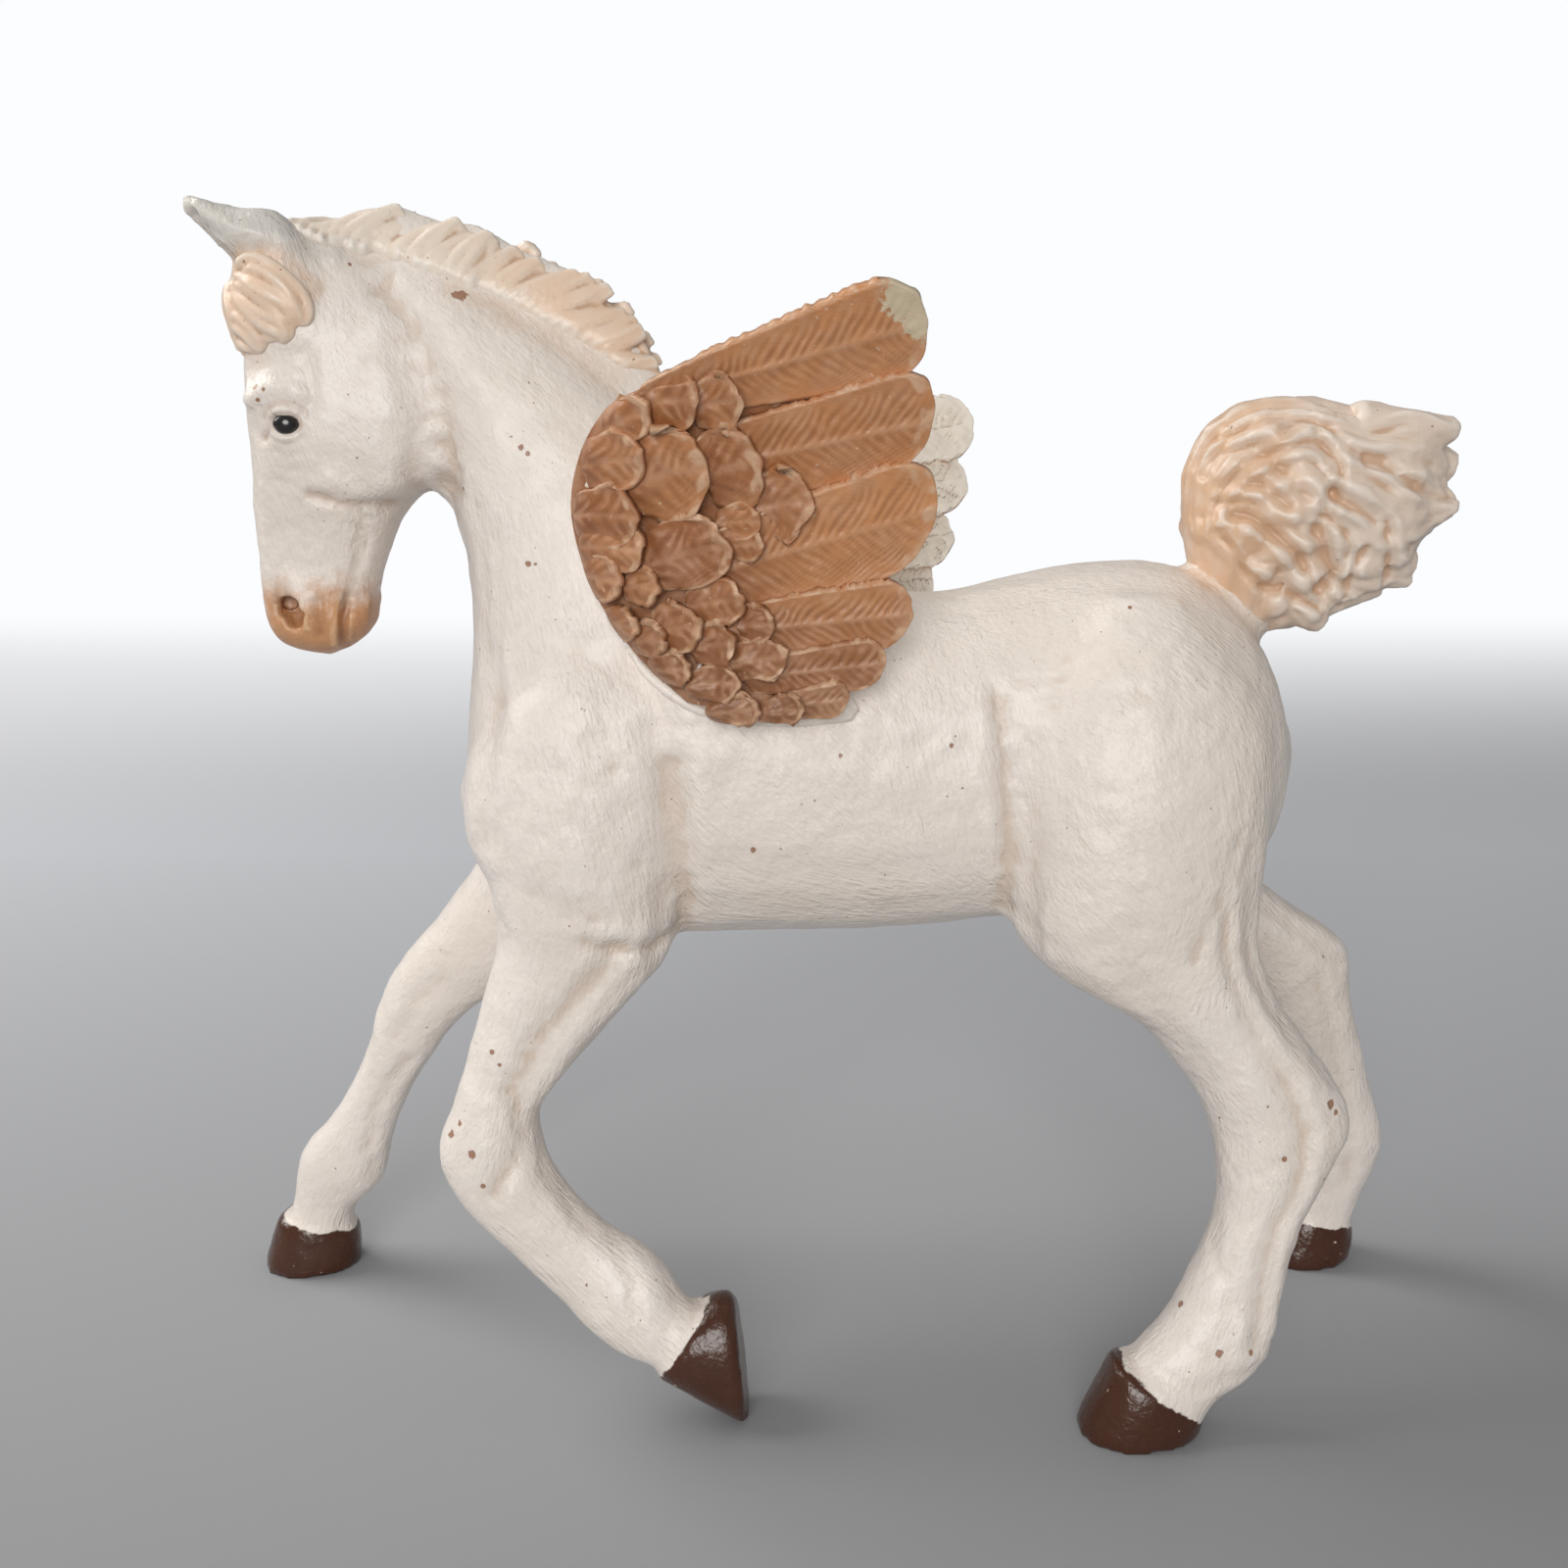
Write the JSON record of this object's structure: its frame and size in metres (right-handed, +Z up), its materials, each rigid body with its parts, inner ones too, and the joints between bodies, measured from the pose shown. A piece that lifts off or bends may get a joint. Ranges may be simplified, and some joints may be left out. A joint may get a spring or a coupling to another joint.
{
  "type": "winged foal figurine",
  "caption": "Moulded and painted winged foal in a trot, with one foreleg raised, feathered wings set on its shoulders, an upright mane and an arched tail.",
  "frame": {"origin": "middle of the figurine's box, at the ground that its soles stand on", "axes": "+Z up, the foal faces -X, its left side is -Y"},
  "size_m": [0.1, 0.0402, 0.0899],
  "materials": {
    "pearl_white_paint": "satin pearl paint over solid moulded plastic",
    "feather_brown_paint": "satin brown paint over solid moulded plastic"
  },
  "bodies": {
    "root": {"foal_body": "pearl_white_paint", "wing_left": "feather_brown_paint", "wing_right": "feather_brown_paint"}
  },
  "joints": []
}
